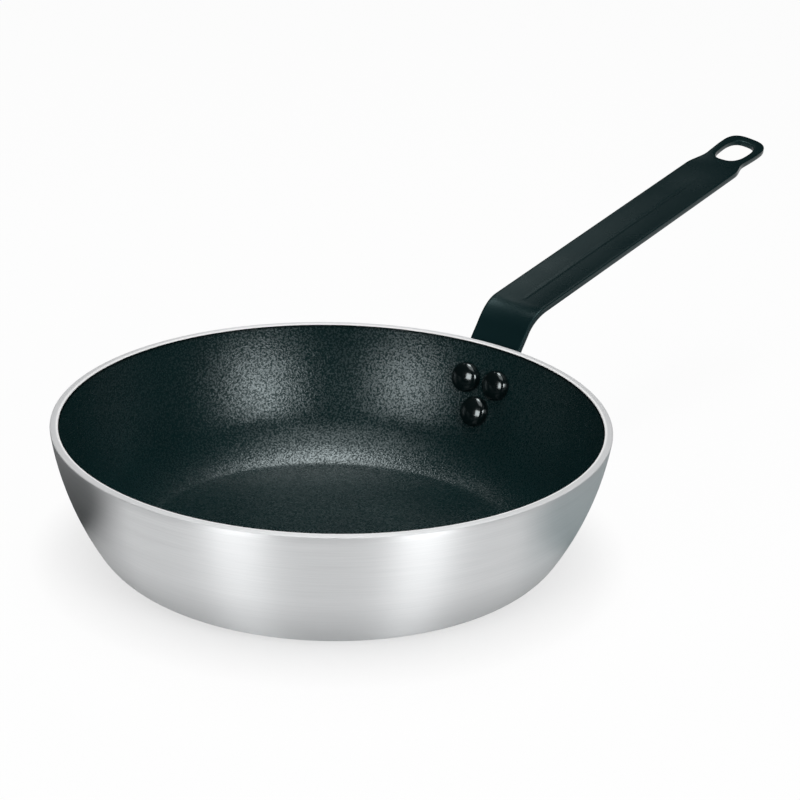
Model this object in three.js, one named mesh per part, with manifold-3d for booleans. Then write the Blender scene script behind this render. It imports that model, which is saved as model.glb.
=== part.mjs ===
// Conical saute pan: a pressed aluminium pan with a non-stick lining and a riveted steel strip handle.
// Millimetres, +Z up. The origin is the centre of the flat base, and the handle runs out along +X.
import * as THREE from 'three';
import { mergeVertices } from 'three/addons/utils/BufferGeometryUtils.js';
import Module from 'manifold-3d';

const { degToRad, smoothstep } = THREE.MathUtils;
const wasm = await Module();
wasm.setup();

// Pan: one pressed sheet. The wall is an arc from the rim down to a tighter corner arc at the base.
const RIM_DIAMETER = 240;
const PAN_HEIGHT = 61;
const WALL_FLARE = 37; // from the edge of the flat base out to the rim, seen from above
const RIM_LEAN = degToRad(8); // lean of the wall off the vertical at the rim
const BASE_CORNER_RADIUS = 22;
const CORNER_LIMIT = 0.9; // most of the room under the wall that the corner may take
const SHEET_THICKNESS = 3.5;
const FLOOR_EDGE_SLOPE = degToRad(20); // slope at which the inside leaves its flat floor
const RIM_OUTER_RADIUS = 0.8;
const RIM_INNER_RADIUS = 0.3;

// Lining: a thin coating on the whole inside, ending just under the rim.
const LINING_THICKNESS = 0.3;
const LINING_GAP = 0.1;
const LINING_DROP = 0.3;

// Rivets: three at the corners of an even triangle, two above and one below.
const RIVET_PITCH = 16.7;
const RIVET_DROP = 17.6; // from the rim down to the upper pair, on the outside of the wall
const RIVET_HEAD_DIAMETER = 14;
const RIVET_HEAD_HEIGHT = 4.5;
const RIVET_SHANK_DIAMETER = 6;
const RIVET_TAIL_DIAMETER = 11;
const RIVET_TAIL_HEIGHT = 2.5;
const RIVET_CLEARANCE = 0.3;

// Handle strip, from the root plate on the wall, over two bends, to the grip.
const RISER_WIDTH = 27;
const GRIP_WIDTH = 28.5;
const STRIP_THICKNESS = 3;
const STRIP_GAP = 0.3; // between the root plate and the wall
const ROOT_END_RADIUS = 10.5; // round end of the root plate, about the lower rivet
const ROOT_LOBE_RADIUS = 9.5; // round shoulders of the root plate, about the upper rivets
const ROOT_SHOULDER_LENGTH = 14; // from the upper rivets to the plain strip
const ROOT_CONTACT_LENGTH = 9.6; // root plate on the wall above the upper rivets
const WALL_BEND_RADIUS = 25;
const RISER_LEAN = degToRad(36.3); // off the vertical
const RISER_LENGTH = 5.7;
const GRIP_BEND_RADIUS = 21;
const GRIP_SLOPE = degToRad(8.3); // above the horizontal
const GRIP_LENGTH = 169.4;
const TROUGH_DEPTH = 0.8; // shallow trough along the strip, from the wall to the end of the grip
const TROUGH_END_LENGTH = 34;

// Hanging eye at the end of the grip.
const EYE_HOLE_LENGTH = 23.7;
const EYE_HOLE_WIDTH = 14.4;
const EYE_SIDE_BAND = 3.7; // metal on each side of the hole
const EYE_END_BAND = 5.5; // metal past the hole
const EYE_TIP_LENGTH = 12.3; // rounded end, from the eye's widest place to its tip
const EYE_SQUARENESS = 2.9; // power of the eye's rounded outlines: 2 is an ellipse, and more is squarer
const EYE_TWIST = degToRad(8.5); // turn of the eye about the handle's length
const NECK_LENGTH = 14.5; // from the full grip to the waist
const NECK_WAIST = 0.1; // how far the waist is drawn in beside the eye
const WAIST_TO_HOLE = 9.1; // from the waist to the middle of the hole

// Smoothness of the round faces.
const PAN_SEGMENTS = 64;
const RIVET_SEGMENTS = 16;
const HOLE_SEGMENTS = 32;
const ACROSS_SEGMENTS = 6;
const CORNER_STEPS = 5;
const WALL_STEPS = 4;
const STRETCH_STEPS = 4;
const LEAST_STEP = 0.4;
const EDGE_STEPS = 2;
const DOME_STEPS = 4;
const EYE_STEPS = 8;
const TIP_ANGLE = degToRad(7); // the strip's round ends stop this far short of a point
const WELD_DISTANCE = 1e-4;
const CUTTER_REACH = 4; // length of a hole's cutter, in thicknesses of what it goes through

// Outer wall: the wall arc and the corner arc touch, and the corner arc touches the base.
const rimRadius = RIM_DIAMETER / 2;
const baseRadius = rimRadius - WALL_FLARE;
const largestCorner =
  (WALL_FLARE * Math.cos(RIM_LEAN) - PAN_HEIGHT * Math.sin(RIM_LEAN)) / (1 - Math.sin(RIM_LEAN));
const cornerRadius = Math.min(BASE_CORNER_RADIUS, CORNER_LIMIT * largestCorner);
const wallRise = PAN_HEIGHT - cornerRadius;
const wallRadius =
  (WALL_FLARE ** 2 + wallRise ** 2 - cornerRadius ** 2) /
  (2 * (WALL_FLARE * Math.cos(RIM_LEAN) - wallRise * Math.sin(RIM_LEAN) - cornerRadius));
const wallCentre = new THREE.Vector2(
  rimRadius - wallRadius * Math.cos(RIM_LEAN),
  PAN_HEIGHT + wallRadius * Math.sin(RIM_LEAN),
);
const cornerCentre = new THREE.Vector2(baseRadius, cornerRadius);
const cornerAngle = Math.atan2(wallCentre.y - cornerCentre.y, cornerCentre.x - wallCentre.x);

// Angle below the horizontal, about the wall arc's centre, of the height z on the wall set in by inset.
function wallAngleAt(z, inset) {
  return Math.asin((wallCentre.y - z) / (wallRadius - inset));
}

// Point of the wall at that angle, set in from the outer face by inset.
function wallPoint(angle, inset) {
  const radius = wallRadius - inset;
  return new THREE.Vector2(
    wallCentre.x + radius * Math.cos(angle),
    wallCentre.y - radius * Math.sin(angle),
  );
}

// Inside corner: it starts at a slope, over the edge of the base, and touches the inner face of the wall.
const innerWallRadius = wallRadius - SHEET_THICKNESS;
const floorEdge = new THREE.Vector2(baseRadius, SHEET_THICKNESS);
const fromWallCentre = floorEdge.clone().sub(wallCentre);
const edgeNormal = new THREE.Vector2(-Math.sin(FLOOR_EDGE_SLOPE), Math.cos(FLOOR_EDGE_SLOPE));
const insideRadius =
  (innerWallRadius ** 2 - fromWallCentre.lengthSq()) / (2 * (innerWallRadius + fromWallCentre.dot(edgeNormal)));
const insideCentre = floorEdge.clone().addScaledVector(edgeNormal, insideRadius);
const insideAngle = Math.atan2(wallCentre.y - insideCentre.y, insideCentre.x - wallCentre.x);

// Points of a round stretch, from one angle to the other.
function arcPoints(centre, radius, fromAngle, toAngle, steps) {
  const clockwise = toAngle < fromAngle;
  const arc = new THREE.ArcCurve(centre.x, centre.y, radius, fromAngle, toAngle, clockwise);
  return arc.getPoints(steps);
}

// The pan's outer face, from the axis out and up to the height top.
function outerSkin(top) {
  const corner = arcPoints(cornerCentre, cornerRadius, -Math.PI / 2, -cornerAngle, CORNER_STEPS);
  const wall = arcPoints(wallCentre, wallRadius, -cornerAngle, -wallAngleAt(top, 0), WALL_STEPS);
  return [new THREE.Vector2(0, 0), ...corner, ...wall.slice(1)];
}

// The inside at a depth below the outer face, from the axis out and up to the height top.
function innerSkin(inset, top) {
  const radius = insideRadius + SHEET_THICKNESS - inset;
  const slope = Math.acos((insideCentre.y - inset) / radius);
  const corner = arcPoints(insideCentre, radius, slope - Math.PI / 2, -insideAngle, CORNER_STEPS);
  const wall = arcPoints(wallCentre, wallRadius - inset, -insideAngle, -wallAngleAt(top, inset), WALL_STEPS);
  return [new THREE.Vector2(0, inset), ...corner, ...wall.slice(1)];
}

// One closed body from a geometry: shared corners merged, and slivers at poles dropped.
function weld(geometry) {
  const bare = geometry.clone();
  bare.deleteAttribute('normal');
  bare.deleteAttribute('uv');
  const merged = mergeVertices(bare, WELD_DISTANCE);
  const corners = merged.index.array;
  const kept = [];
  for (let i = 0; i < corners.length; i += 3) {
    const [a, b, c] = corners.subarray(i, i + 3);
    if (a !== b && b !== c && c !== a) kept.push(a, b, c);
  }
  merged.setIndex(kept);
  return merged;
}

function toSolid(geometry) {
  const welded = weld(geometry);
  const vertProperties = new Float32Array(welded.attributes.position.array);
  const triVerts = new Uint32Array(welded.index.array);
  return new wasm.Manifold(new wasm.Mesh({ numProp: 3, vertProperties, triVerts }));
}

function cut(geometry, tools) {
  const left = tools.reduce((solid, tool) => solid.subtract(toSolid(tool)), toSolid(geometry));
  const { vertProperties, triVerts } = left.getMesh();
  const result = new THREE.BufferGeometry();
  result.setAttribute('position', new THREE.BufferAttribute(new Float32Array(vertProperties), 3));
  result.setIndex(new THREE.BufferAttribute(new Uint32Array(triVerts), 1));
  return result;
}

// Turns a closed profile about Z. The profile runs counter-clockwise, with the axis on its left side.
function turned(profile, segments) {
  return new THREE.LatheGeometry(profile, segments).rotateX(Math.PI / 2);
}

function piece(name, geometry, color, roughness, metalness) {
  geometry.computeVertexNormals();
  const mesh = new THREE.Mesh(geometry, new THREE.MeshStandardMaterial({ color, roughness, metalness }));
  mesh.name = name;
  return mesh;
}

// Rivets: where each one stands on the wall, and the layers that it holds together.
const liningTop = PAN_HEIGHT - LINING_DROP;
const liningOuter = SHEET_THICKNESS + LINING_GAP;
const liningInner = liningOuter + LINING_THICKNESS;
const stripInner = -STRIP_GAP;
const stripMiddle = stripInner - STRIP_THICKNESS / 2;
const stripOuter = stripInner - STRIP_THICKNESS;
const rowStep = (RIVET_PITCH * Math.sqrt(3)) / 2;
const upperAngle = wallAngleAt(PAN_HEIGHT - RIVET_DROP, 0);
const lowerAngle = upperAngle + rowStep / (wallRadius - liningInner);
const pairTurn = Math.asin(RIVET_PITCH / 2 / wallPoint(upperAngle, liningInner).x);
const rivetPlaces = [
  { name: 'rivet_upper_left', angle: upperAngle, turn: pairTurn },
  { name: 'rivet_upper_right', angle: upperAngle, turn: -pairTurn },
  { name: 'rivet_lower', angle: lowerAngle, turn: 0 },
];

// Sets a geometry made along Z so that Z points into the pan, square to the wall, from its outer face.
function placeOnWall(geometry, { angle, turn }) {
  const foot = wallPoint(angle, 0);
  return geometry
    .rotateY(-(Math.PI / 2 - angle))
    .translate(foot.x, 0, foot.y)
    .rotateZ(turn);
}

// Straight holes through every layer at the rivets.
function rivetHoles() {
  const radius = RIVET_SHANK_DIAMETER / 2 + RIVET_CLEARANCE;
  const reach = CUTTER_REACH * (liningInner - stripOuter);
  return rivetPlaces.map((place) => {
    const hole = new THREE.CylinderGeometry(radius, radius, reach, RIVET_SEGMENTS).rotateX(Math.PI / 2);
    return placeOnWall(hole, place);
  });
}

// Round cap on a rim of that radius, from the axis at its crown out to the rim, or back when it is below.
function domePoints(rimZ, radius, height) {
  const ball = (radius ** 2 + height ** 2) / (2 * Math.abs(height));
  const spread = Math.asin(radius / ball);
  const opening = Math.abs(height) > radius ? Math.PI - spread : spread;
  const centre = new THREE.Vector2(0, rimZ + height - Math.sign(height) * ball);
  if (height < 0) return arcPoints(centre, ball, -Math.PI / 2, -Math.PI / 2 + opening, DOME_STEPS);
  return arcPoints(centre, ball, Math.PI / 2 - opening, Math.PI / 2, DOME_STEPS);
}

// A rivet along Z: formed tail below the strip, shank, and domed head above the lining.
function rivet(place) {
  const headRadius = RIVET_HEAD_DIAMETER / 2;
  const shankRadius = RIVET_SHANK_DIAMETER / 2;
  const wallHollow = headRadius ** 2 / (2 * wallPoint(place.angle, liningInner).x);
  const headSeat = liningInner + wallHollow + RIVET_CLEARANCE;
  const tailSeat = stripOuter - RIVET_CLEARANCE;
  const profile = [
    ...domePoints(tailSeat, RIVET_TAIL_DIAMETER / 2, -RIVET_TAIL_HEIGHT),
    new THREE.Vector2(shankRadius, tailSeat),
    new THREE.Vector2(shankRadius, headSeat),
    ...domePoints(headSeat, headRadius, RIVET_HEAD_HEIGHT),
  ];
  return weld(placeOnWall(turned(profile, RIVET_SEGMENTS), place));
}

function panBody() {
  const outerTop = PAN_HEIGHT - RIM_OUTER_RADIUS;
  const innerTop = PAN_HEIGHT - RIM_INNER_RADIUS;
  const outer = outerSkin(outerTop);
  const inner = innerSkin(SHEET_THICKNESS, innerTop);
  const outerEdge = new THREE.Vector2(outer.at(-1).x - RIM_OUTER_RADIUS, outerTop);
  const innerEdge = new THREE.Vector2(inner.at(-1).x + RIM_INNER_RADIUS, innerTop);
  const profile = [
    ...outer,
    ...arcPoints(outerEdge, RIM_OUTER_RADIUS, 0, Math.PI / 2, EDGE_STEPS).slice(1),
    ...arcPoints(innerEdge, RIM_INNER_RADIUS, Math.PI / 2, Math.PI, EDGE_STEPS).slice(0, -1),
    ...inner.reverse(),
  ];
  return cut(turned(profile, PAN_SEGMENTS), rivetHoles());
}

function lining() {
  const profile = [...innerSkin(liningOuter, liningTop), ...innerSkin(liningInner, liningTop).reverse()];
  return cut(turned(profile, PAN_SEGMENTS), rivetHoles());
}

// Middle line of the strip, seen from the side: out from the axis, and up.
const stripRadius = wallRadius - stripMiddle;
const rootEndAngle = lowerAngle + ROOT_END_RADIUS / stripRadius;
const leaveAngle = upperAngle - ROOT_CONTACT_LENGTH / stripRadius;
const gripLean = Math.PI / 2 - GRIP_SLOPE;

// Unit step along a line that leans that far off the vertical.
function leaning(lean) {
  return new THREE.Vector2(Math.sin(lean), Math.cos(lean));
}

function stripLine(gripReach) {
  const line = new THREE.CurvePath();
  const end = wallPoint(leaveAngle, stripMiddle);
  const bend = (radius, fromLean, toLean) => {
    const across = new THREE.Vector2(Math.cos(fromLean), -Math.sin(fromLean));
    const centre = end.clone().addScaledVector(across, radius);
    const arc = new THREE.ArcCurve(centre.x, centre.y, radius, Math.PI - fromLean, Math.PI - toLean, true);
    line.add(arc);
    end.copy(arc.getPoint(1));
  };
  const straight = (length, lean) => {
    const start = end.clone();
    end.addScaledVector(leaning(lean), length);
    line.add(new THREE.LineCurve(start, end.clone()));
  };
  line.add(new THREE.ArcCurve(wallCentre.x, wallCentre.y, stripRadius, -rootEndAngle, -leaveAngle, false));
  bend(WALL_BEND_RADIUS, leaveAngle, RISER_LEAN);
  straight(RISER_LENGTH, RISER_LEAN);
  bend(GRIP_BEND_RADIUS, RISER_LEAN, gripLean);
  straight(gripReach, gripLean);
  return line;
}

// Stations along the strip, measured on its middle line from the root end.
const eyeHalfWidth = EYE_HOLE_WIDTH / 2 + EYE_SIDE_BAND;
const holeToTip = EYE_HOLE_LENGTH / 2 + EYE_END_BAND;
const gripReach = GRIP_LENGTH + NECK_LENGTH + WAIST_TO_HOLE + holeToTip;
const handleLine = stripLine(gripReach);
const [contactEnd, bendEnd, riserEnd, gripStart, stripEnd] = handleLine.getCurveLengths();
const lowerStation = ROOT_END_RADIUS;
const upperStation = contactEnd - ROOT_CONTACT_LENGTH;
const plainStation = upperStation + ROOT_SHOULDER_LENGTH;
const gripEnd = gripStart + GRIP_LENGTH;
const waistStation = gripEnd + NECK_LENGTH;
const holeMiddle = waistStation + WAIST_TO_HOLE;
const eyeStation = holeMiddle + holeToTip - EYE_TIP_LENGTH; // where the eye is widest

// Eased stretch of the edge between two points, level at both ends.
function easePoints(from, to) {
  const reach = (to.x - from.x) / 2;
  const fromHandle = new THREE.Vector2(from.x + reach, from.y);
  const toHandle = new THREE.Vector2(to.x - reach, to.y);
  return new THREE.CubicBezierCurve(from, fromHandle, toHandle, to).getPoints(CORNER_STEPS);
}

// Point of a rounded outline with those half sizes, at an angle about its middle.
function roundedPoint(halfLength, halfWidth, angle) {
  const power = 2 / EYE_SQUARENESS;
  const share = (part) => Math.sign(part) * Math.abs(part) ** power;
  return new THREE.Vector2(halfLength * share(Math.cos(angle)), halfWidth * share(Math.sin(angle)));
}

// Rounded end of the eye, from its widest place towards its tip: station, and half the width there.
function eyeTip() {
  const points = [];
  for (let step = 0; step <= EYE_STEPS; step += 1) {
    const angle = THREE.MathUtils.lerp(Math.PI / 2, TIP_ANGLE, step / EYE_STEPS);
    const point = roundedPoint(EYE_TIP_LENGTH, eyeHalfWidth, angle);
    points.push(new THREE.Vector2(eyeStation + point.x, point.y));
  }
  return points;
}

// Edge of the flat strip: station along it, and half its width there.
function stripEdge() {
  const point = (station, half) => new THREE.Vector2(station, half);
  const spread = wallPoint(upperAngle, stripMiddle).x / wallPoint(upperAngle, liningInner).x;
  const root = point(lowerStation, 0);
  const lobe = point(upperStation, (spread * RIVET_PITCH) / 2);
  const between = lobe.clone().sub(root);
  const tangent =
    between.angle() + Math.acos((ROOT_END_RADIUS - ROOT_LOBE_RADIUS) / between.length());
  const shoulder = arcPoints(lobe, ROOT_LOBE_RADIUS, tangent, Math.PI / 2, CORNER_STEPS);
  const waist = point(waistStation, eyeHalfWidth - NECK_WAIST);
  return [
    ...arcPoints(root, ROOT_END_RADIUS, Math.PI - TIP_ANGLE, tangent, CORNER_STEPS),
    ...shoulder,
    ...easePoints(shoulder.at(-1), point(plainStation, RISER_WIDTH / 2)).slice(1),
    ...easePoints(point(riserEnd, RISER_WIDTH / 2), point(gripStart, GRIP_WIDTH / 2)),
    ...easePoints(point(gripEnd, GRIP_WIDTH / 2), waist),
    ...easePoints(waist, point(eyeStation, eyeHalfWidth)).slice(1),
    ...eyeTip().slice(1),
  ];
}

// Stations where the strip has a row of points: along its edge, its bends and the end of its trough.
function stripStations(edge) {
  const stretches = [
    [0, contactEnd],
    [contactEnd, bendEnd],
    [bendEnd, riserEnd],
    [riserEnd, gripStart],
    [gripEnd - TROUGH_END_LENGTH, gripEnd],
  ];
  const wanted = edge.map((point) => point.x);
  for (const [start, end] of stretches) {
    for (let step = 1; step < STRETCH_STEPS; step += 1) {
      wanted.push(THREE.MathUtils.lerp(start, end, step / STRETCH_STEPS));
    }
  }
  const first = edge[0].x;
  const last = edge.at(-1).x;
  const inside = wanted.filter((s) => s > first + LEAST_STEP && s < last - LEAST_STEP).sort((a, b) => a - b);
  const kept = [first];
  for (const station of inside) {
    if (station - kept.at(-1) > LEAST_STEP) kept.push(station);
  }
  return [...kept, last];
}

// Half the strip's width at a station, read off its edge.
function halfWidthAt(edge, station) {
  const next = Math.max(1, edge.findIndex((point) => point.x >= station));
  const [before, after] = [edge[next - 1], edge[next]];
  return THREE.MathUtils.mapLinear(station, before.x, after.x, before.y, after.y);
}

// Point of the strip: station along it, sideways from its middle, and above its middle face.
function stripPoint(station, sideways, half, above) {
  const share = station / stripEnd;
  const middle = handleLine.getPoint(share);
  const along = handleLine.getTangent(share);
  const wrap = 1 - smoothstep(station, contactEnd, riserEnd);
  const across = 1 - (sideways / half) ** 2;
  const toEnd = 1 - smoothstep(station, gripEnd - TROUGH_END_LENGTH, gripEnd);
  const sunk = TROUGH_DEPTH * across * (1 - wrap) * toEnd;
  const twist = EYE_TWIST * smoothstep(station, gripEnd, eyeStation);
  const aside = sideways * Math.cos(twist) - (above - sunk) * Math.sin(twist);
  const raised = sideways * Math.sin(twist) + (above - sunk) * Math.cos(twist);
  const out = middle.x - along.y * raised;
  const up = middle.y + along.x * raised;
  const wrapped = Math.sqrt(out ** 2 - aside ** 2);
  return new THREE.Vector3(THREE.MathUtils.lerp(out, wrapped, wrap), aside, up);
}

// The hanging hole, square to the eye.
function eyeHole() {
  const points = [];
  for (let step = 0; step < HOLE_SEGMENTS; step += 1) {
    points.push(roundedPoint(EYE_HOLE_LENGTH / 2, EYE_HOLE_WIDTH / 2, (2 * Math.PI * step) / HOLE_SEGMENTS));
  }
  const depth = CUTTER_REACH * STRIP_THICKNESS;
  const place = handleLine.getPoint(holeMiddle / stripEnd);
  return new THREE.ExtrudeGeometry(new THREE.Shape(points), { depth, bevelEnabled: false })
    .translate(0, 0, -depth / 2)
    .rotateX(EYE_TWIST)
    .rotateY(-GRIP_SLOPE)
    .translate(place.x, 0, place.y);
}

// The handle: a block cut to the strip's stations, with each corner laid along the middle line.
function handle() {
  const edge = stripEdge();
  const stations = stripStations(edge);
  const rows = stations.length - 1;
  const strip = new THREE.BoxGeometry(rows, 1, 1, rows, ACROSS_SEGMENTS, 1);
  const corners = strip.attributes.position;
  for (let i = 0; i < corners.count; i += 1) {
    const station = stations[Math.round(corners.getX(i) + rows / 2)];
    const half = halfWidthAt(edge, station);
    const sideways = 2 * half * corners.getY(i);
    const above = STRIP_THICKNESS * corners.getZ(i);
    corners.setXYZ(i, ...stripPoint(station, sideways, half, above));
  }
  return cut(strip, [...rivetHoles(), eyeHole()]);
}

const pan = new THREE.Group();
pan.add(piece('pan_body', panBody(), '#c9cbcd', 0.35, 1));
pan.add(piece('nonstick_lining', lining(), '#262c2d', 0.55, 0));
pan.add(piece('handle', handle(), '#222a2b', 0.45, 0));
for (const place of rivetPlaces) {
  pan.add(piece(place.name, rivet(place), '#0e1213', 0.15, 0));
}

export default pan;
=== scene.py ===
import math

import bmesh
import bpy
from mathutils import Euler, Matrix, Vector


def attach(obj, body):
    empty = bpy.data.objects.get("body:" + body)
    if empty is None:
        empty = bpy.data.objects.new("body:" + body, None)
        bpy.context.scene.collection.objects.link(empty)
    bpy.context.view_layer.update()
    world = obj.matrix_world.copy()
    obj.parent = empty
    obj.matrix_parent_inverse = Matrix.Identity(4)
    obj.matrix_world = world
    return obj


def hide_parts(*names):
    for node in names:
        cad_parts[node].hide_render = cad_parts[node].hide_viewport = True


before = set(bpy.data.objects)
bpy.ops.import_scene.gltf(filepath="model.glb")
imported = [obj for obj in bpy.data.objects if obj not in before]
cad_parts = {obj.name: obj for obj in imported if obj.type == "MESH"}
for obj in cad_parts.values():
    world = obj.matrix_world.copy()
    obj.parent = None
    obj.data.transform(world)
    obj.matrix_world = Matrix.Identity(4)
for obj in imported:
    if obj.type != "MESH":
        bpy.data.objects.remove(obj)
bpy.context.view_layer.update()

MM = 0.001

# Shell: one sheet. The wall is an arc from the rim down to a tighter corner arc at the base.
RIM_RADIUS = 120 * MM
PAN_HEIGHT = 61 * MM
WALL_FLARE = 37 * MM
RIM_LEAN = math.radians(8)
CORNER_RADIUS = 22 * MM
SHEET_THICKNESS = 3.5 * MM
FLOOR_EDGE_SLOPE = math.radians(20)  # slope at which the inside leaves its flat floor
FLOOR_TURN_RADIUS = 9 * MM  # tight turn there
RIM_OUTER_RADIUS = 0.8 * MM
RIM_INNER_RADIUS = 0.3 * MM

# Lining: a thin coat on the whole inside, ending just under the rim.
LINING_THICKNESS = 0.3 * MM
LINING_GAP = 0.1 * MM
LINING_DROP = 0.3 * MM

# Rivets: two above and one below.
RIVET_PITCH = 16.7 * MM
RIVET_DROP = 17.6 * MM
HEAD_RADIUS = 7 * MM
HEAD_HEIGHT = 4.5 * MM
HEAD_CROWN_RADIUS = 14.5 * MM
HEAD_SHOULDER_RADIUS = 3 * MM
SHANK_RADIUS = 3 * MM
TAIL_RADIUS = 5.5 * MM
TAIL_HEIGHT = 2.5 * MM
RIVET_CLEARANCE = 0.3 * MM

# Handle strip, along its middle line: root plate, bend off the wall, riser, bend into the grip, grip, eye.
RISER_WIDTH = 27 * MM
GRIP_WIDTH = 28.5 * MM
STRIP_THICKNESS = 3 * MM
STRIP_GAP = 0.3 * MM
STRIP_EDGE_RADIUS = 0.5 * MM
ROOT_END_RADIUS = 10.5 * MM
ROOT_LOBE_RADIUS = 9.5 * MM
ROOT_SHOULDER_LENGTH = 14 * MM
ROOT_CONTACT_LENGTH = 9.6 * MM
WALL_BEND_RADIUS = 25 * MM
RISER_LEAN = math.radians(36.3)
RISER_LENGTH = 5.7 * MM
GRIP_BEND_RADIUS = 21 * MM
GRIP_SLOPE = math.radians(8.3)
GRIP_LENGTH = 169.4 * MM
TROUGH_DEPTH = 0.8 * MM
TROUGH_END_LENGTH = 34 * MM
CREASE_DEPTH = 0.25 * MM  # fine line along the middle of the trough
CREASE_HALF_WIDTH = 0.9 * MM
CREASE_START = 1.3 * MM  # along the grip, after the bend
CREASE_START_LENGTH = 3 * MM
EYE_HOLE_LENGTH = 23.7 * MM
EYE_HOLE_WIDTH = 14.4 * MM
EYE_SIDE_BAND = 3.7 * MM
EYE_END_BAND = 5.5 * MM
EYE_TIP_LENGTH = 12.3 * MM
EYE_SQUARENESS = 2.9  # power of the eye's rounded outlines: 2 is an ellipse, and more is squarer
EYE_TWIST = math.radians(8.5)  # turn of the eye about the handle's length
NECK_LENGTH = 14.5 * MM
NECK_WAIST = 0.1 * MM
WAIST_TO_HOLE = 9.1 * MM

# Fineness of the meshes.
PAN_SEGMENTS = 192
CORNER_STEPS = 12
WALL_STEPS = 16
RIVET_SEGMENTS = 48
ARC_STEPS = 10
EYE_STEPS = 16
BEVEL_STEPS = 3
SMOOTH_ANGLE = math.radians(35)
CUTTER_REACH = 4  # length of a drill or punch, in thicknesses of what it goes through
SAME_PLACE = 0.1 * MM  # how far apart still counts as level, or as equally far out

# Rows across each stretch of the handle's blank, and columns along it, that let it bend.
ROOT_ROWS = 20
WALL_BEND_ROWS = 10
RISER_ROWS = 4
GRIP_BEND_ROWS = 16
CREASE_START_ROWS = 4
TROUGH_END_ROWS = 6
NECK_ROWS = 12
STRIP_COLUMNS = 16

# Surfaces. Brush lines and grain are drawn coarser than real ones of 0.05 to 0.1 mm, so that they show.
# A pair is the low and the high end of a range.
PLAIN_DETAIL = 1  # finer layers in a noise
SOME_DETAIL = 2
FINE_DETAIL = 3
MOST_NOISE = (0.3, 0.7)  # the part of 0 to 1 that a noise mostly keeps to
BRUSH_LINE = 0.5 * MM
BRUSH_BAND = 4 * MM
BRUSH_STRETCH = 60  # how much longer a brush line is than it is wide
BRUSH_DEPTH = 0.02 * MM
BRUSH_BUMP = 0.15
BRUSH_ROUGHNESS = (0.39, 0.43)
BRUSH_ANISOTROPY = 0.93
BRUSH_TURN = 0.25  # a quarter turn: reflections are drawn out across the lines
PAINTED_SHADE_HEIGHT = 28 * MM  # painted shade: the wall's colour is darker up to here, for the floor's shadow that the lower wall mirrors
RIM_ROUGHNESS = 0.5  # how much rougher the turned rim is than the wall
RIM_METAL = 0.2  # share of the turned rim that mirrors: its fine marks scatter the rest
RIM_HIGHLIGHT_BAND = 1.2 * MM  # painted highlight: a white band along the rim's inner edge that does not mirror, for a thin chamfer catching the light
GRAIN_SIZE = 0.85 * MM
GRAIN_DEPTH = 0.14 * MM
GRAIN_BUMP = 1
GRAIN_SPREAD = (0.35, 0.65)
GRAIN_ROUGHNESS = (0.24, 0.3)
SPARKLE_SPREAD = (0.38, 0.63)
SPARKLE_LEVEL = (0.14, 1.1)
SPRAY_CLOUD = 25 * MM
COAT_TOP_SHADE = 1.5 * MM  # painted shade along the coat's upper edge, under the rim: darker and less glossy there
PEEL_SIZE = 1.2 * MM
PEEL_DEPTH = 0.05 * MM
HANDLED_PATCH = 30 * MM
HANDLE_PEEL_BUMP = 0.12
HANDLE_ROUGHNESS = (0.24, 0.32)
HANDLE_SPECULAR = 0.25
RIVET_PEEL_BUMP = 0.06
RIVET_ROUGHNESS = (0.1, 0.18)
RIVET_SPECULAR = 0.9
WORN_EDGE = (0.52, 0.6)  # pointiness, where 0.5 is flat
PAPER_ROUGHNESS = 0.9

# Camera: it looks along CAMERA_HEADING, measured from +X towards +Y, and down by CAMERA_PITCH.
CAMERA_AIM = Vector((16.986, -23.174, 70.742)) * MM
CAMERA_DISTANCE = 1195.9 * MM
CAMERA_HEADING = math.radians(36.086)
CAMERA_PITCH = math.radians(-21.98)
CAMERA_ROLL = math.radians(1.495)
CAMERA_LENS = 126.35  # millimetres, on the default sensor of 36 mm

# Studio. A softbox has its azimuth and elevation in degrees, then its distance, width and height, then how
# bright its face is, where 1 is white paper. A mirrored shade card has its azimuth, distance, depth, width
# and tone: a painted reflection of shade, seen only in reflections.
SOFTBOXES = {
    "left_softbox": (-34, 19, 1.2, 0.42, 0.44, 7.2),
    "right_softbox": (37, 21, 1.2, 0.42, 0.44, 9.3),
    "overhead_softbox": (175, 72, 1.1, 0.36, 0.52, 7.7),
    "top_softbox": (0, 77, 1.1, 0.9, 0.7, 1.6),
    "back_softbox": (175, 38.5, 1.2, 0.22, 0.2, 1.2),
    "streak_softbox": (-152, 48, 1.2, 0.12, 0.12, 3),
}
MIRRORED_SHADE_CARDS = {
    "left_mirrored_shade": (-115, 0.225, 0.235, 0.28, "#182123"),
    "right_mirrored_shade": (109, 0.225, 0.24, 0.26, "#b4c0c2"),
}
SHADE_CARD_LIFT = 1 * MM
FLOOR_SIZE = 8
FLOOR_WHITE_SHARE = 0.96  # how much of the paper shows as plain white
SEEN_SHADOW = (30 * MM, 0.6)  # how far the pan's shadow reaches, and how light the paper stays in it
MIRRORED_SHADOW = (100 * MM, 0)  # the same, as the pan mirrors it
WORLD_LEVEL = (0.015, 0.03)  # brightness of the dim room, low down and overhead
WORLD_RISE = (28, 44)  # degrees above the floor, from where to where it grows paler


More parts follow.
